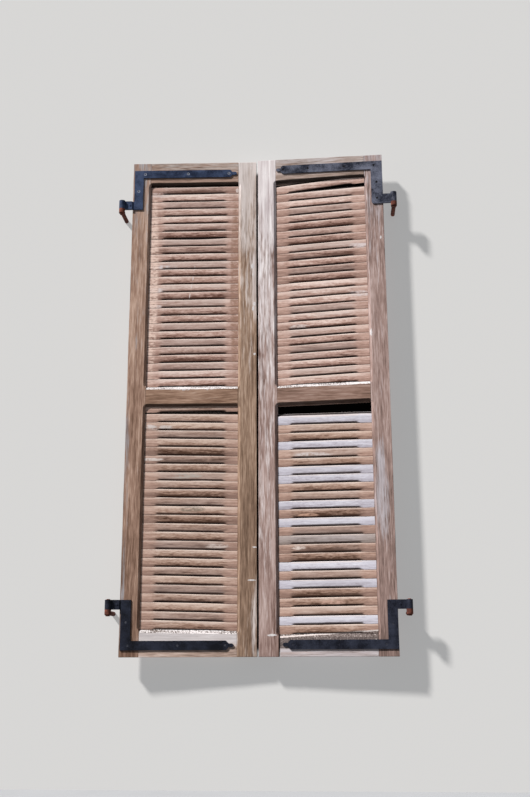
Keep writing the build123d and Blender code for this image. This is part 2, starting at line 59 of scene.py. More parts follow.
# The viewpoint
# The closed shutters are seen from four metres away, level with their foot and a little from the right.
viewpoint = bpy.data.objects.new("viewpoint", bpy.data.cameras.new("viewpoint"))
bpy.context.scene.collection.objects.link(viewpoint)
viewpoint.data.sensor_width = 36
viewpoint.data.lens = 44.72
viewpoint.data.clip_end = 60
swing = Matrix.Rotation(math.radians(4.10), 4, "Z")
lift = Matrix.Rotation(math.radians(90 + 14.53), 4, "X")
roll = Matrix.Rotation(math.radians(-0.21), 4, "Z")
viewpoint.matrix_world = Matrix.Translation((0.317, -3.9993, 0.0071)) @ swing @ lift @ roll
bpy.context.scene.camera = viewpoint
bpy.context.scene.view_settings.view_transform = "Standard"


# The floor and the backdrop
# A pale floor below the shutters and a pale board behind them, on which the pintles stand. The board is
# painted near black behind the leaves, a painted shade so that their gaps look deep. Elsewhere it glows a
# little, which lightens the shadows cast on it. Light and sight pass through it from behind.
class Amount:
    """A number or colour that varies over a surface. Python's operators add the Math nodes."""

    def __init__(self, finish, socket):
        self.finish = finish
        self.socket = socket

    def work(self, operation, *numbers):
        return self.finish.node("ShaderNodeMath", {"operation": operation}, dict(enumerate(numbers)))

    def __add__(self, other):
        return self.work("ADD", self, other)

    def __radd__(self, other):
        return self.work("ADD", other, self)

    def __sub__(self, other):
        return self.work("SUBTRACT", self, other)

    def __rsub__(self, other):
        return self.work("SUBTRACT", other, self)

    def __mul__(self, other):
        return self.work("MULTIPLY", self, other)

    def __abs__(self):
        return self.work("ABSOLUTE", self)

    def most(self, other):
        return self.work("MAXIMUM", self, other)

    def least(self, other):
        return self.work("MINIMUM", self, other)


class Finish:
    """The nodes of one material, lamp or world."""

    def __init__(self, owner):
        owner.use_nodes = True
        self.owner = owner
        self.tree = owner.node_tree
        self.tree.nodes.clear()

    def node(self, kind, settings=None, inputs=None, output=0):
        made = self.tree.nodes.new(kind)
        for key, value in (settings or {}).items():
            if key == "stops":
                ramp = made.color_ramp
                ramp.elements.remove(ramp.elements[1])
                ramp.elements[0].position = value[0][0]
                ramp.elements[0].color = (*value[0][1], 1)
                for place, colour in value[1:]:
                    ramp.elements.new(place).color = (*colour, 1)
            else:
                setattr(made, key, value)
        for key, value in (inputs or {}).items():
            if isinstance(value, Amount):
                self.tree.links.new(value.socket, made.inputs[key])
            elif isinstance(value, tuple) and made.inputs[key].type == "RGBA":
                made.inputs[key].default_value = (*value, 1)
            else:
                made.inputs[key].default_value = value
        return Amount(self, made.outputs[output]) if made.outputs else None

    def place(self, axis):
        """How far along X, Y or Z a point of the piece is."""
        where = self.node("ShaderNodeTexCoord", output="Object")
        return self.node("ShaderNodeSeparateXYZ", inputs={0: where}, output=axis)

    def band(self, amount, low, high):
        """0 below low, 1 above high, and a soft step between."""
        ends = {"Value": amount, "From Min": low, "From Max": high}
        return self.node("ShaderNodeMapRange", {"interpolation_type": "SMOOTHSTEP"}, ends)

    def mix(self, share, first, second):
        return self.node("ShaderNodeMix", {"data_type": "RGBA"}, {0: share, 6: first, 7: second}, 2)


def tint(red, green, blue):
    """A colour as the eye reads it, from 0 to 255, as the light that it gives back."""
    return tuple(((part / 255 + 0.055) / 1.055) ** 2.4 for part in (red, green, blue))


bpy.ops.mesh.primitive_plane_add(size=14, location=(0, -3.5, -0.5))
floor = bpy.context.object
floor.name = "floor"
floor.visible_diffuse = False
ground = Finish(bpy.data.materials.new("pale_floor"))
speckle = ground.node("ShaderNodeTexNoise", inputs={"Scale": 60.0, "Detail": 4.0})
floor_colour = ground.mix(speckle, tint(158, 160, 164), tint(168, 170, 174))
floor_face = ground.node("ShaderNodeBsdfPrincipled", inputs={"Base Color": floor_colour, "Roughness": 0.9})
ground.node("ShaderNodeOutputMaterial", inputs={"Surface": floor_face})
floor.data.materials.append(ground.owner)

bpy.ops.mesh.primitive_plane_add(size=1, location=(0, 0.0597, 1.5), rotation=(math.radians(90), 0, 0))
board = bpy.context.object
board.name = "backdrop"
board.scale = (14, 8, 1)
board.visible_shadow = False
board.visible_diffuse = False
backing = Finish(bpy.data.materials.new("pale_backdrop"))
where = backing.node("ShaderNodeNewGeometry", output="Position")
board_x = backing.node("ShaderNodeSeparateXYZ", inputs={0: where}, output="X")
board_z = backing.node("ShaderNodeSeparateXYZ", inputs={0: where}, output="Z")
dark_half_width = 0.535
dark_half_height = 1.055
dark_middle = 1.067
# Painted shade: the board turns near black where it lies behind the leaves
painted_shade_behind_leaves = backing.band(abs(board_x), dark_half_width, dark_half_width - 0.020)
painted_shade_behind_leaves = painted_shade_behind_leaves * backing.band(abs(board_z - dark_middle), dark_half_height, dark_half_height - 0.025)
board_colour = backing.mix(painted_shade_behind_leaves, tint(168, 168, 168), tint(6, 5, 5))
board_glow = backing.mix(painted_shade_behind_leaves, tint(222, 222, 222), tint(0, 0, 0))
board_inputs = {"Base Color": board_colour, "Roughness": 0.9, "Specular IOR Level": 0.0}
board_inputs.update({"Emission Color": board_glow, "Emission Strength": 0.42})
board_face = backing.node("ShaderNodeBsdfPrincipled", inputs=board_inputs)
see_through = backing.node("ShaderNodeBsdfTransparent")
behind = backing.node("ShaderNodeNewGeometry", output="Backfacing")
one_sided = backing.node("ShaderNodeMixShader", inputs={0: behind, 1: board_face, 2: see_through})
backing.node("ShaderNodeOutputMaterial", inputs={"Surface": one_sided})
board.data.materials.append(backing.owner)

# The light
# A high sun from the upper left and a soft sky, as in a studio, brighter behind so that the back shows.
lamp = bpy.data.lights.new("sun", "SUN")
lamp.energy = 5.6
lamp.angle = math.radians(5)
lamp.color = (1.0, 0.97, 0.93)
sun = bpy.data.objects.new("sun", lamp)
bpy.context.scene.collection.objects.link(sun)
from_left = math.radians(52)
from_above = math.radians(45)
sun_side = math.cos(from_above) * math.sin(from_left)
sun_front = math.cos(from_above) * math.cos(from_left)
sun.rotation_euler = Vector((-sun_side, -sun_front, math.sin(from_above))).to_track_quat("Z", "Y").to_euler()

sky = Finish(bpy.data.worlds.new("sky"))
bpy.context.scene.world = sky.owner
seen = sky.node("ShaderNodeLightPath", output="Is Camera Ray")
mirrored = sky.node("ShaderNodeLightPath", output="Is Glossy Ray")
through = sky.node("ShaderNodeLightPath", output="Is Transmission Ray")
soft_light = sky.node("ShaderNodeBackground", inputs={"Color": (0.94, 0.97, 1.0), "Strength": 0.2})
pale_sky = sky.node("ShaderNodeBackground", inputs={"Color": tint(238, 238, 238), "Strength": 1.0})
back_light = sky.node("ShaderNodeBackground", inputs={"Color": (0.97, 0.98, 1.0), "Strength": 0.75})
heading = sky.node("ShaderNodeTexCoord", output="Generated")
behind_them = sky.band(sky.node("ShaderNodeSeparateXYZ", inputs={0: heading}, output="Y"), 0.1, 0.45)
all_round = sky.node("ShaderNodeMixShader", inputs={0: behind_them, 1: soft_light, 2: back_light})
shown = seen.most(mirrored).most(through)
sky_face = sky.node("ShaderNodeMixShader", inputs={0: shown, 1: all_round, 2: pale_sky})
sky.node("ShaderNodeOutputWorld", inputs={"Surface": sky_face})


# The stiles
# Two uprights to each leaf, sawn from thick boards and chamfered along the openings. The paint is long gone
# from most of them: white is left in streaks, mostly high up, and the rest is bare.
class Hang:
    """How a leaf hangs: its front face starts at the hinge edge and slants a little back."""

    def __init__(self, start, angle, side):
        turn = math.radians(angle)
        self.side = side
        self.start = Vector((*start, 0))
        self.inward = Vector((-side * math.sin(turn), math.cos(turn), 0))


hangs = {"left": Hang((-0.5497, -0.0307), 2.8, 1), "right": Hang((0.5494, -0.0316), 1.7, -1)}
leaf_height = 2.134
opening_middle = 0.273
slat_recess = 0.011
slat_back = 0.027
frame_arris = 0.0016
frame_waver = 0.0022
cut_spacing = 0.045
waver_size = 0.09
weld_distance = 0.00002
shortest_worn = 0.014
relief_depth = 0.0012


def worn_copy(node, arris, way, stations, unevenness):
    """A copy of a solid whose long edges are rubbed round and no longer quite straight."""
    hang = hangs[node.split("_")[0]]
    bpy.ops.object.select_all(action="DESELECT")
    solid = frame["nodes"][node]
    solid.select_set(True)
    bpy.context.view_layer.objects.active = solid
    bpy.ops.object.duplicate()
    piece = bpy.context.object
    piece.name = "worn_" + node
    body = piece["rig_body"]
    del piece["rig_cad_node"]
    bpy.context.tool_settings.mesh_select_mode = (False, True, False)
    bpy.ops.object.mode_set(mode="EDIT")
    bpy.ops.mesh.select_all(action="SELECT")
    bpy.ops.mesh.remove_doubles(threshold=weld_distance)
    bpy.ops.mesh.dissolve_limited(angle_limit=math.radians(1))
    bpy.ops.mesh.select_all(action="DESELECT")
    bpy.ops.mesh.edges_select_sharp(sharpness=math.radians(30))
    bpy.ops.object.mode_set(mode="OBJECT")
    mesh = piece.data
    for edge in mesh.edges:
        ends = [mesh.vertices[number].co for number in edge.vertices]
        deep = [(end - hang.start).dot(hang.inward) for end in ends]
        outside = max(deep) < slat_recess + 0.0005 or min(deep) > slat_back + 0.0015
        if not outside or (ends[0] - ends[1]).length < shortest_worn:
            edge.select = False
    bpy.ops.object.mode_set(mode="EDIT")
    bpy.ops.mesh.bevel(offset=arris, segments=2, clamp_overlap=False)
    normal = (1, 0, 0) if way == "X" else (0, 0, 1)
    for station in stations:
        bpy.ops.mesh.select_all(action="SELECT")
        point = [station * part for part in normal]
        bpy.ops.mesh.bisect(plane_co=point, plane_no=normal)
    bpy.ops.object.mode_set(mode="OBJECT")
    bumps = bpy.data.textures.new(node, "CLOUDS")
    bumps.cloud_type = "COLOR"
    bumps.noise_scale = waver_size
    waver = piece.modifiers.new("waver", "DISPLACE")
    waver.texture = bumps
    waver.texture_coords = "LOCAL"
    waver.direction = "RGB_TO_XYZ"
    waver.strength = unevenness
    bpy.ops.object.modifier_apply(modifier="waver")
    least, most = solid.bound_box[0], solid.bound_box[6]
    for vertex in mesh.vertices:
        vertex.co = [min(max(part, low), high) for part, low, high in zip(vertex.co, least, most)]
    bpy.ops.object.shade_smooth_by_angle(angle=math.radians(50))
    piece.modifiers.new("flat_faces", "WEIGHTED_NORMAL").keep_sharp = True
    bpy.ops.object.modifier_apply(modifier="flat_faces")
    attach(piece, body)
    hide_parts(node)
    return piece


def wear(piece, finish):
    piece.data.materials.clear()
    piece.data.materials.append(finish.owner)


def fibres(finish, grain, long, wide, detail, seed=0.0):
    """Wood grain: noise about nought, drawn out along the grain, with so many waves to the metre."""
    where = finish.node("ShaderNodeTexCoord", output="Object")
    scale = (long, wide, wide) if grain == "X" else (wide, wide, long)
    drawn = finish.node("ShaderNodeMapping", inputs={"Vector": where, "Scale": scale})
    shape = {"Vector": drawn, "W": seed, "Scale": 1.0, "Detail": detail, "Roughness": 0.6}
    return finish.node("ShaderNodeTexNoise", {"noise_dimensions": "4D"}, shape) * 2.4 - 1.2


def blot(finish, ragged, x, z, wide, high, lean=0.0):
    """A spot of old paint on the face, as wide and high as given, with a ragged edge."""
    up = finish.place("Z") - z
    across = (finish.place("X") - x - up * lean) * (1 / wide)
    up = up * (1 / high)
    far = across * across + up * up + ragged * 1.2
    return finish.band(far, 1.0, 0.6)


def zone(finish, x, z, wide, high, amount):
    """More or less of something round a place, fading out."""
    across = (finish.place("X") - x) * (1 / wide)
    up = (finish.place("Z") - z) * (1 / high)
    return finish.band(across * across + up * up, 1.0, 0.2) * amount


def below_face(finish, side):
    """How far a point lies behind the front face of its leaf."""
    hang = hangs[side]
    along = (finish.place("X") - hang.start.x) * hang.inward.x
    return along + (finish.place("Y") - hang.start.y) * hang.inward.y


def line(finish, side, height, drop):
    """How far a point is above a line that crosses a leaf, level or dropping towards the meeting edge."""
    hang = hangs[side]
    along = (finish.place("X") - hang.start.x) * hang.side - opening_middle
    return finish.place("Z") - height + along * drop


def caked(finish, colour, ragged, fine, side, height, drop):
    """Dark dirt with crumbs of paint below a line across the leaf, and a lip of white along it."""
    above = line(finish, side, height, drop) + ragged * 0.003
    dirt = finish.mix(ragged * 1.2 + 0.5, tint(52, 42, 40), tint(138, 126, 124))
    colour = finish.mix(finish.band(above, 0.001, -0.0015) * 0.92, colour, dirt)
    crumbs = finish.band(ragged * 0.9 + fine * 0.3, 0.22, 0.42) * finish.band(above, 0.0, -0.002)
    lip = finish.band(abs(above + 0.0005), 0.0032, 0.0018)
    white = finish.mix(fine + 0.5, tint(190, 180, 178), tint(226, 216, 214))
    return finish.mix(lip.most(crumbs), colour, white)


def surface(finish, colour, rough, height, strength=0.5, shine=0.1):
    """Ends a finish: its colour, how rough it is and its relief."""
    bump = {"Height": height, "Strength": strength, "Distance": relief_depth}
    relief = finish.node("ShaderNodeBump", inputs=bump)
    inputs = {"Base Color": colour, "Roughness": rough, "Normal": relief, "Specular IOR Level": shine}
    face = finish.node("ShaderNodeBsdfPrincipled", inputs=inputs)
    finish.node("ShaderNodeOutputMaterial", inputs={"Surface": face})
    return finish


def old_wood(
    name, grain, browns, residue, spread, blots=(), peel=None, zones=(), crust=None, shade=None, dull=None,
):
    """Bare weathered wood with paint left in its grain: spread gives how much, by height.

    Peel is a rail's side, the line of its front top corner, how much paint the slope above it keeps and how
    far that hangs down. Zones hold more or less paint than the rest. Crust is a line with dirt caked below
    it. Shade is a line below which painted shade darkens the wood, and by how much. Dull is how the wood
    darkens downwards: where that starts, where it is full and by how much."""
    finish = Finish(bpy.data.materials.new(name))
    leaf = name.split("_")[0]
    cloud = fibres(finish, grain, 3.0, 16.0, 3.0)
    fibre = fibres(finish, grain, 4.0, 130.0, 4.0)
    fine = fibres(finish, grain, 18.0, 200.0, 3.0)
    streak = fibres(finish, grain, 5.0, 110.0, 4.0, 5.0)
    patch = fibres(finish, grain, 6.0, 40.0, 3.0, 9.0)
    speck = fibres(finish, grain, 70.0, 130.0, 2.0, 12.0)
    ragged = fibres(finish, "Z", 150.0, 190.0, 4.0, 3.0)
    tone = 0.5 + cloud * 0.5 + fibre * 0.55 + fine * 0.55
    if dull:
        start, full, amount = dull
        tone = tone - finish.band(finish.place("Z"), start, full) * amount
    stops = [(0.1, tint(*browns[0])), (0.5, tint(*browns[1])), (0.9, tint(*browns[2]))]
    colour = finish.node("ShaderNodeValToRGB", {"stops": stops}, {0: tone})
    levels = [(height, (amount,) * 3) for height, amount in spread]
    share = finish.node("ShaderNodeValToRGB", {"stops": levels}, {0: finish.place("Z") * (1 / leaf_height)})
    front = finish.band(below_face(finish, leaf), 0.024, 0.014)
    for spot in zones:
        share = share + zone(finish, *spot) * front
    left_over = finish.band(share * 1.5 + streak * 0.6 + patch * 0.45 + fine * 0.5, 0.42, 1.15)
    flakes = finish.band(speck * 0.9 + fine * 0.3 + share * 0.5 + patch * 0.3, 0.76, 0.94)
    remains = finish.mix(fibre * 0.9 + patch * 0.6 + 0.5, tint(*residue[0]), tint(*residue[1]))
    colour = finish.mix(left_over * 0.85, colour, remains)
    left_over = left_over.most(flakes)
    for spot in blots:
        flakes = flakes.most(blot(finish, ragged, *spot) * front)
    if peel:
        side, height, drop, kept, spill = peel
        above = line(finish, side, height, drop)
        top = finish.band(above, -0.0012, 0.0004)
        hanging = finish.band(above + (ragged * 0.5 + patch * 0.9) * spill, -0.001, 0.002)
        crumbs = finish.band(ragged * 0.55 + patch * 0.35 + streak * 0.2 + kept, 0.3, 0.6)
        dirty = finish.mix(ragged + 0.5, tint(66, 56, 52), tint(126, 114, 108))
        colour = finish.mix(top * front, colour, dirty)
        flakes = flakes.most(top.most(hanging) * crumbs * front)
    colour = finish.mix(flakes, colour, finish.mix(fine + 0.5, tint(192, 186, 188), tint(234, 230, 232)))
    if crust:
        above_foot = finish.band(finish.place("Z"), 0.030, 0.034)
        colour = finish.mix(above_foot * front, colour, caked(finish, colour, ragged, fine, *crust))
    # Painted shade: below the shade line, the chamfer under a rail is darkened as if out of the light
    if shade:
        side, height, drop, darkness = shade
        under = finish.band(line(finish, side, height, drop) + ragged * 0.001, 0.0015, -0.0015)
        colour = finish.mix(under * front * darkness, colour, tint(34, 26, 22))
    # Painted shade darkens the sides that the two leaves turn to each other
    painted_gap_shade = finish.band(abs(finish.place("X")), 0.0075, 0.0055)
    painted_gap_shade = painted_gap_shade * finish.band(below_face(finish, leaf), 0.0008, 0.006)
    colour = finish.mix(painted_gap_shade * 0.92, colour, tint(30, 24, 22))
    height = fibre * 0.3 + fine * 0.25 + left_over * 0.2 + flakes * 0.5
    return surface(finish, colour, 0.8 - left_over * 0.15, height)


stile_cuts = [cut_spacing * count + 0.02 for count in range(47)]
stile_finishes = {
    "left_outer_stile": old_wood(
        "left_outer_stile_wood", "Z", [(112, 86, 72), (160, 130, 114), (204, 176, 160)],
        [(112, 114, 122), (172, 174, 182)],
        [(0.0, 0.1), (0.25, 0.04), (0.45, 0.1), (0.62, 0.26), (0.8, 0.3), (1.0, 0.5)], (), None,
        [(-0.547, 0.58, 0.026, 0.62, 0.4), (-0.5, 0.05, 0.06, 0.05, 0.2)], dull=(1.0, 0.7, 0.17),
    ),
    "left_meeting_stile": old_wood(
        "left_meeting_stile_wood", "Z", [(106, 84, 70), (150, 124, 106), (192, 166, 148)],
        [(184, 172, 168), (240, 232, 232)],
        [(0.0, 0.3), (0.12, 0.18), (0.4, 0.0), (0.62, 0.28), (0.78, 0.42), (0.9, 0.68), (1.0, 0.8)],
        [(-0.0210, 1.639, 0.008, 0.013), (-0.0130, 1.465, 0.007, 0.010), (-0.0130, 1.241, 0.006, 0.006),
         (-0.0190, 1.600, 0.003, 0.010), (-0.0190, 1.445, 0.005, 0.012), (-0.0135, 0.428, 0.009, 0.0035),
         (-0.0255, 0.297, 0.017, 0.0035)], None,
        [(-0.01, 0.16, 0.03, 0.2, 0.3), (-0.012, 1.54, 0.016, 0.2, 0.35), (-0.05, 1.95, 0.02, 0.3, 0.15)],
        dull=(0.9, 0.55, 0.08),
    ),
    "right_meeting_stile": old_wood(
        "right_meeting_stile_wood", "Z", [(106, 82, 74), (160, 136, 130), (196, 176, 172)],
        [(194, 182, 186), (255, 252, 255)],
        [(0.0, 0.1), (0.15, 0.16), (0.4, 0.3), (0.6, 0.46), (0.8, 0.56), (1.0, 1.05)],
        [(0.0560, 0.083, 0.020, 0.005, 0.5)], None,
        [(0.086, 0.72, 0.02, 0.7, -0.3), (0.03, 0.6, 0.03, 0.5, 0.12), (0.03, 0.06, 0.06, 0.09, 0.1)],
        dull=(0.7, 0.2, 0.12),
    ),
    "right_outer_stile": old_wood(
        "right_outer_stile_wood", "Z", [(106, 88, 82), (155, 131, 125), (194, 173, 169)],
        [(164, 158, 164), (204, 200, 208)],
        [(0.0, 0.05), (0.2, 0.06), (0.32, 0.22), (0.45, 0.16), (0.75, 0.24), (0.9, 0.4), (1.0, 0.5)],
        [(0.4793, 1.316, 0.005, 0.016), (0.5337, 1.743, 0.004, 0.008)], None,
        [(0.5, 0.62, 0.035, 0.3, 0.42), (0.53, 0.35, 0.02, 0.3, 0.2)], dull=(1.05, 0.8, 0.2),
    ),
}
for node, finish in stile_finishes.items():
    wear(worn_copy(node, frame_arris, "Z", stile_cuts, frame_waver), finish)


# The rails
# Three cross-pieces to each leaf, tenoned through the stiles. White paint still peels along the upper
# chamfers of the middle and bottom rails, and on their faces the bottom rails keep the most of it.
rail_cuts = {
    "left": [-0.54 + cut_spacing * count for count in range(12)],
    "right": [0.03 + cut_spacing * count for count in range(12)],
}
rail_finishes = {
    # The shade of the top and middle rails is painted shade on the chamfers under them
    "left_top_rail": old_wood(
        "left_top_rail_wood", "X", [(104, 84, 74), (162, 134, 120), (196, 172, 160)],
        [(172, 164, 160), (204, 198, 196)], [(0.0, 0.1), (0.965, 0.1), (0.98, 0.4), (1.0, 0.5)],
        shade=("left", 2.039, 0.0, 0.85),
    ),
    "right_top_rail": old_wood(
        "right_top_rail_wood", "X", [(100, 84, 76), (156, 136, 126), (194, 176, 170)],
        [(172, 164, 164), (206, 200, 204)], [(0.0, 0.15), (0.965, 0.15), (0.98, 0.45), (1.0, 0.55)],
        shade=("right", 2.039, 0.025, 0.9),
    ),
    "left_mid_rail": old_wood(
        "left_mid_rail_wood", "X", [(106, 80, 66), (150, 120, 102), (182, 152, 134)],
        [(180, 164, 154), (210, 196, 190)], [(0.0, 0.12), (1.0, 0.12)], (), ("left", 1.090, 0.0, 0.56, 0.02),
        shade=("left", 1.026, 0.0, 0.6),
    ),
    "right_mid_rail": old_wood(
        "right_mid_rail_wood", "X", [(100, 78, 68), (142, 114, 102), (172, 146, 136)],
        [(180, 164, 156), (210, 196, 192)], [(0.0, 0.14), (1.0, 0.14)], (),
        ("right", 1.090, 0.021, 0.52, 0.007),
        shade=("right", 1.026, 0.021, 0.6),
    ),
    # The bottom rails are paler at their foot below the straps: partly old paint, partly painted light that
    # stands for light thrown up from below
    "left_bottom_rail": old_wood(
        "left_bottom_rail_wood", "X", [(128, 108, 98), (184, 160, 148), (214, 194, 184)],
        [(196, 190, 192), (234, 230, 234)],
        [(0.0, 0.3), (0.014, 0.2), (0.028, 0.85), (0.05, 1.0), (1.0, 1.0)], (),
        ("left", 0.091, 0.017, 0.54, 0.02),
    ),
    "right_bottom_rail": old_wood(
        "right_bottom_rail_wood", "X", [(130, 114, 110), (184, 166, 162), (214, 200, 200)],
        [(170, 162, 164), (212, 206, 212)],
        [(0.0, 0.68), (0.02, 0.62), (0.032, 0.35), (0.045, 0.35), (1.0, 0.35)], (),
        ("right", 0.074, 0.005, 0.34, 0.02), (), ("right", 0.0874, 0.0625),
    ),
}
for node, finish in rail_finishes.items():
    wear(worn_copy(node, frame_arris, "X", rail_cuts[node.split("_")[0]], frame_waver), finish)


# The slats
# Thin boards stacked on each other in the grooves of the stiles, each cut away below between its two heels
# so that air passes. Their faces are bare, pinkish above and browner below, and nine are a pale blue grey.
slat_pitch = 0.0352
end_strip = 0.004
slot_half_length = 0.152
slat_arris = 0.0011
slat_waver = 0.0026
own_step = 0.618


def tell_slats_apart(piece, light, dark, open_above):
    """Each slat carries its tone, how far up its face a point is, its own number and if its top shows."""
    mesh = piece.data
    leader = list(range(len(mesh.vertices)))

    def lead(number):
        while leader[number] != number:
            leader[number] = leader[leader[number]]
            number = leader[number]
        return number

    for edge in mesh.edges:
        leader[lead(edge.vertices[0])] = lead(edge.vertices[1])
    slats = {}
    for vertex in mesh.vertices:
        slats.setdefault(lead(vertex.index), []).append(vertex)
    order = sorted(slats.values(), key=lambda slat: -sum(vertex.co.z for vertex in slat) / len(slat))
    marks = mesh.attributes.new("slat", "FLOAT_COLOR", "POINT")
    for number, slat in enumerate(order, 1):
        left_end = min(vertex.co.x for vertex in slat)
        right_end = max(vertex.co.x for vertex in slat)
        left_tops = [vertex.co.z for vertex in slat if vertex.co.x < left_end + end_strip]
        right_tops = [vertex.co.z for vertex in slat if vertex.co.x > right_end - end_strip]
        lean = (max(right_tops) - max(left_tops)) / (right_end - left_end)
        levels = {vertex.index: vertex.co.z - lean * (vertex.co.x - left_end) for vertex in slat}
        low = min(levels.values())
        tone = 1.0 if number in light else 0.0 if number in dark else 0.5
        for vertex in slat:
            up = (levels[vertex.index] - low) / slat_pitch
            marks.data[vertex.index].color = (tone, up, (number * own_step) % 1, number in open_above)


def slat_wood(name, side, tones, heel, grey, bleach, blots=(), patches=(), crust=None):
    """Bare slats: dark, middle and light tones, the heels' colour, the grey of the middle, and how bleached.

    Blots are spots of old paint; patches have a colour of their own that fades into the wood, but some are a
    painted highlight and some a painted shade. Crust is a line across the leaf, below which the lowest slat
    is caked with the dirt of the rail."""
    finish = Finish(bpy.data.materials.new(name))
    hang = hangs[side]
    marks = finish.node("ShaderNodeAttribute", {"attribute_name": "slat"}, output="Color")
    tone = finish.node("ShaderNodeSeparateColor", inputs={0: marks}, output="Red") - 0.5
    up = finish.node("ShaderNodeSeparateColor", inputs={0: marks}, output="Green")
    own = finish.node("ShaderNodeSeparateColor", inputs={0: marks}, output="Blue")
    depth = below_face(finish, side)
    front = finish.band(depth, 0.024, 0.018)
    covered = 1 - finish.node("ShaderNodeAttribute", {"attribute_name": "slat"}, output="Alpha")
    fibre = fibres(finish, "X", 9.0, 170.0, 4.0, own * 40)
    fine = fibres(finish, "X", 60.0, 230.0, 3.0, own * 40)
    cloud = fibres(finish, "X", 6.0, 50.0, 3.0, own * 40)
    streak = fibres(finish, "X", 14.0, 150.0, 3.0, own * 40 + 7)
    speck = fibres(finish, "X", 60.0, 130.0, 3.0, own * 40 + 3)
    # Painted shading: the up term makes each slat's face lighter at the top and darker at its foot
    tone_and_painted_shading = 0.42 + tone * 0.42 + fibre * 0.5 + cloud * 0.36 + fine * 0.5 + (up - 0.55) * 0.9
    stops = [(0.0, tint(*tones[0])), (0.45, tint(*tones[1])), (0.95, tint(*tones[2]))]
    colour = finish.node("ShaderNodeValToRGB", {"stops": stops}, {0: tone_and_painted_shading})
    middle = hang.start.x + hang.side * opening_middle
    from_middle = abs(finish.place("X") - middle) + cloud * 0.02
    weathered = finish.band(from_middle, 0.16, 0.12) * finish.band(cloud * 0.5 + own, 0.3, 1.0)
    greyed = finish.mix(fibre * 0.7 + 0.5, tint(*grey[0]), tint(*grey[1]))
    colour = finish.mix(weathered * 0.6, colour, greyed)
    at_end = finish.band(from_middle, 0.11, 0.165) * (0.4 + own * 0.2)
    colour = finish.mix(at_end, colour, finish.mix(fibre * 0.7 + 0.5, tint(*heel[0]), tint(*heel[1])))
    bleached = finish.band(streak * 0.45 + cloud * 0.3 + (up - 0.6) * 0.5 + tone * 0.35 + bleach, 0.3, 0.85)
    colour = finish.mix(bleached * 0.8, colour, tint(222, 206, 202))
    crisp = finish.band(speck * 0.7 + cloud * 0.5 + bleach * 0.4, 0.78, 0.9)
    colour = finish.mix(crisp * 0.7, colour, tint(232, 220, 218))
    ragged = fibres(finish, "Z", 150.0, 190.0, 4.0, 3.0)
    for x, z, wide, high, own_tint in patches:
        there = zone(finish, x, z, wide, high, 1.5) * front * (fibre * 1.1 + speck * 1.3 + 0.42)
        colour = finish.mix(there.most(0).least(0.85), colour, tint(*own_tint))
    for spot in blots:
        colour = finish.mix(blot(finish, ragged, *spot) * front * 0.7, colour, tint(226, 214, 212))
    if crust:
        colour = finish.mix(front, colour, caked(finish, colour, ragged, fine, *crust))
    between_heels = finish.band(from_middle, slot_half_length - 0.006, slot_half_length - 0.020)
    # A pale line along the top arris of each slat: wear, and a painted highlight
    edge = finish.band(up + fibre * 0.02, 0.84, 0.92) * (between_heels * 0.35 + 0.2) * (fibre * 0.6 + 0.8)
    colour = finish.mix(edge, colour, tint(224, 208, 200))
    # A dark joint line at each slat's foot, and painted shade on the face just above each air slot between
    # the heels
    joint_and_painted_slot_shade = finish.band(up + fine * 0.012, 0.06, 0.03).most(finish.band(up, 0.305, 0.245) * between_heels)
    colour = finish.mix(joint_and_painted_slot_shade * 0.85, colour, tint(46, 30, 24))
    sloping = finish.band(depth, slat_recess + 0.0007, slat_recess + 0.0018) * (1 - covered)
    dusty = finish.mix(fibre + 0.5, tint(112, 100, 98), tint(170, 160, 160))
    colour = finish.mix(sloping * 0.6, colour, dusty)
    # Painted shade: the faces inside the slots, under the next slat and behind an open top, are near black
    under_next = finish.band(depth, slat_recess + 0.0007, slat_recess + 0.0016) * covered
    behind_top = finish.band(depth, slat_recess + 0.0055, slat_recess + 0.0070) * (1 - covered)
    painted_shade_inside_slots = (under_next + behind_top) * finish.band(depth, slat_back - 0.0008, slat_back - 0.0020)
    colour = finish.mix(painted_shade_inside_slots * 0.95, colour, tint(18, 12, 10))
    return surface(finish, colour, 0.78, fibre * 0.3 + fine * 0.2 + cloud * 0.25)


pink = [(96, 66, 56), (184, 150, 139), (238, 216, 208)]
brown = [(82, 58, 46), (164, 133, 118), (218, 194, 180)]
heels = [(160, 126, 114), (220, 188, 176)]
greys = [(138, 114, 106), (198, 178, 172)]
upper_left = slat_wood(
    "left_upper_slat_wood", "left", pink, heels, greys, 0.0,
    [(-0.2745, 1.635, 0.0035, 0.012, 0.17), (-0.2800, 1.590, 0.0035, 0.014, 0.17),
     (-0.2860, 1.555, 0.0035, 0.017, 0.17), (-0.2935, 1.510, 0.0028, 0.016, 0.17),
     (-0.0900, 2.003, 0.007, 0.010)],
    [(-0.413, 1.640, 0.07, 0.014, (216, 206, 208)), (-0.440, 1.536, 0.05, 0.014, (222, 212, 212)),
     (-0.445, 1.461, 0.04, 0.014, (218, 206, 206)), (-0.430, 1.986, 0.06, 0.014, (206, 190, 188)),
     # These two tall strips are painted light: a painted highlight on the left heels and painted shade on the
     # right heels
     (-0.456, 1.560, 0.030, 0.50, (238, 212, 200)), (-0.098, 1.560, 0.024, 0.50, (152, 118, 102))],
)
upper_right = slat_wood(
    "right_upper_slat_wood", "right", pink, heels, greys, 0.06, (),
    [(0.439, 1.716, 0.05, 0.016, (220, 210, 212)), (0.440, 1.495, 0.07, 0.016, (218, 206, 206)),
     (0.180, 1.354, 0.05, 0.014, (214, 202, 200))],
)
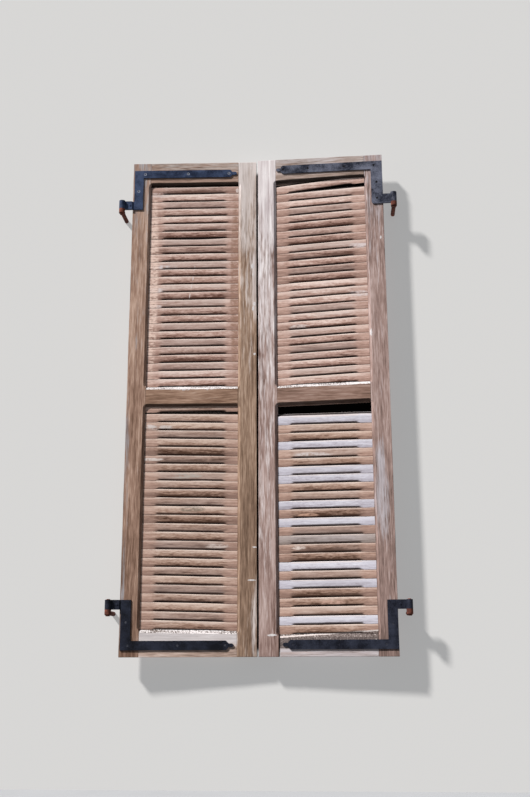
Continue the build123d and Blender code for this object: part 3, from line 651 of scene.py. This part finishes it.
lower_left = slat_wood(
    "left_lower_slat_wood", "left", brown, heels, greys, 0.0, [(-0.4515, 0.936, 0.014, 0.006)],
    [(-0.414, 0.928, 0.07, 0.013, (214, 206, 204)), (-0.436, 0.793, 0.05, 0.008, (222, 212, 208)),
     (-0.169, 0.435, 0.06, 0.012, (212, 196, 190)), (-0.269, 0.585, 0.06, 0.015, (128, 116, 104)),
     (-0.298, 0.722, 0.08, 0.014, (180, 172, 166))],
)
lower_right = slat_wood(
    "right_lower_slat_wood", "right", brown, heels, greys, 0.0, (),
    [(0.229, 0.802, 0.09, 0.013, (214, 204, 204)), (0.204, 0.552, 0.05, 0.010, (200, 160, 140)),
     (0.164, 0.423, 0.035, 0.009, (230, 216, 210)), (0.294, 0.206, 0.06, 0.012, (202, 166, 152))],
    ("right", 0.0874, 0.0625),
)
pale = slat_wood(
    "pale_slat_wood", "right", [(140, 130, 140), (196, 192, 204), (230, 230, 242)],
    [(190, 188, 200), (220, 218, 232)], [(176, 172, 182), (214, 212, 224)], 0.0,
)
grey_slat = slat_wood(
    "grey_slat_wood", "right", [(106, 96, 92), (160, 148, 146), (196, 186, 186)],
    [(146, 130, 124), (186, 172, 168)], [(132, 120, 118), (184, 174, 176)], 0.0,
)
slat_groups = [
    ("left_upper_slats", "slat_wood", upper_left, {2, 5, 8, 11, 14, 16, 25}, {1, 7, 9, 15, 23}, set()),
    (
        "left_lower_slats", "slat_wood", lower_left,
        {1, 2, 4, 8, 12, 17, 20, 23}, {5, 6, 10, 13, 16, 21}, set(),
    ),
    ("left_lifted_slat", "slat_wood", lower_left, {1}, set(), {1}),
    (
        "right_upper_slats", "slat_wood", upper_right,
        {2, 8, 13, 14, 15, 17, 19, 24}, {5, 7, 9, 11, 12, 21}, {1},
    ),
    ("right_loose_slat", "slat_wood", upper_right, {1}, set(), {1}),
    ("right_lower_slats", "slat_wood", lower_right, {1, 3, 14}, {7, 8, 9, 10, 12}, set()),
    ("right_lower_pale_slats", "pale_slat_wood", pale, {6, 7, 9}, set(), {1}),
    ("right_lower_grey_slat", "grey_slat_wood", grey_slat, set(), set(), set()),
]
for node, slot, finish, light, dark, open_above in slat_groups:
    slats = worn_copy(node, slat_arris, "X", rail_cuts[node.split("_")[0]][1:-1:2], slat_waver)
    tell_slats_apart(slats, light, dark, open_above)
    wear(slats, finish)


# The iron straps
# A flat strap for each hinge corner of a leaf, forged from bar with a rolled eye and screwed on. A rivet
# closes every eye but one. The straps are painted blue-black, and the paint is worn to pale specks.
def places_of(node):
    """Where the screws of a strap are, seen from the front."""
    screws_apart = 0.013
    points = [(vertex.co.x, vertex.co.z) for vertex in frame["nodes"][node].data.vertices]
    places = []
    for x, z in points:
        near = [point for point in points if math.hypot(point[0] - x, point[1] - z) < screws_apart]
        middle = [sum(side) / len(near) for side in zip(*near)]
        if all(math.hypot(middle[0] - place[0], middle[1] - place[1]) > screws_apart for place in places):
            places.append(middle)
    return places


rim_reach = 0.005


def strap_paint(name, dark, light, specks, rims=()):
    """Thick paint with worn specks; rims are the screws whose heads are rubbed bright round the edge."""
    finish = Finish(bpy.data.materials.new(name))
    cloud = fibres(finish, "X", 18.0, 18.0, 4.0)
    fine = fibres(finish, "X", 240.0, 240.0, 4.0)
    chips = fibres(finish, "X", 150.0, 170.0, 3.0, 4.0)
    colour = finish.mix(cloud * 1.4 + fine * 0.8 + 0.45, tint(*dark), tint(*light))
    worn = finish.band(chips + cloud * 0.35 + specks, 0.85, 1.0)
    colour = finish.mix(worn, colour, finish.mix(fine + 0.5, tint(124, 122, 130), tint(186, 182, 190)))
    for x, z in rims:
        across = (finish.place("X") - x) * (1 / rim_reach)
        up = (finish.place("Z") - z) * (1 / rim_reach)
        far = across * across + up * up + chips * 0.3
        rim = finish.band(far, 0.2, 0.45) * finish.band(far, 1.9, 1.3)
        colour = finish.mix(rim * 0.85, colour, tint(150, 156, 172))
    return surface(finish, colour, 0.55 + fine * 0.1, cloud * 0.4 + fine * 0.15 - worn * 0.4)


left_top_rims = places_of("left_top_screws")
straps = {
    "left_top": (
        strap_paint("left_top_strap_paint", (14, 26, 50), (62, 76, 106), 0.1, left_top_rims),
        strap_paint("left_top_screw_paint", (14, 20, 36), (40, 48, 68), 0.0, left_top_rims),
    ),
    "right_top": (
        strap_paint("right_top_strap_paint", (22, 26, 40), (110, 114, 132), 0.3),
        strap_paint("right_top_screw_paint", (16, 16, 20), (34, 34, 40), -0.3),
    ),
    "left_bottom": (
        strap_paint("left_bottom_strap_paint", (8, 10, 18), (40, 44, 58), 0.16),
        strap_paint("left_bottom_screw_paint", (44, 46, 56), (86, 88, 98), 0.0),
    ),
    "right_bottom": (
        strap_paint("right_bottom_strap_paint", (10, 12, 22), (48, 52, 66), 0.16),
        strap_paint("right_bottom_screw_paint", (30, 32, 42), (60, 62, 74), 0.0),
    ),
}
for corner, (paint, screw_paint) in straps.items():
    for kind, finish in (("_strap", paint), ("_rivet", paint), ("_screws", screw_paint)):
        if corner + kind in frame["nodes"]:
            wear(frame["nodes"][corner + kind], finish)


# The pintles
# Four upright iron pins, each on a boss on which a strap's eye turns and with a shank that runs back to be
# set in. They carry no paint and are rusted all over.
rust = Finish(bpy.data.materials.new("rusty_iron_scale"))
scale_cloud = fibres(rust, "X", 60.0, 60.0, 5.0)
scale_fine = fibres(rust, "X", 420.0, 420.0, 4.0)
rust_stops = [
    (0.0, tint(44, 30, 28)),
    (0.4, tint(96, 58, 50)),
    (0.7, tint(142, 84, 66)),
    (1.0, tint(178, 112, 76)),
]
rust_tone = scale_cloud * 0.5 + scale_fine * 0.3 + 0.42
rust_colour = rust.node("ShaderNodeValToRGB", {"stops": rust_stops}, {0: rust_tone})
surface(rust, rust_colour, 0.85, scale_cloud * 0.5 + scale_fine * 0.3, 0.7)
for corner in straps:
    wear(frame["nodes"][corner + "_pintle"], rust)
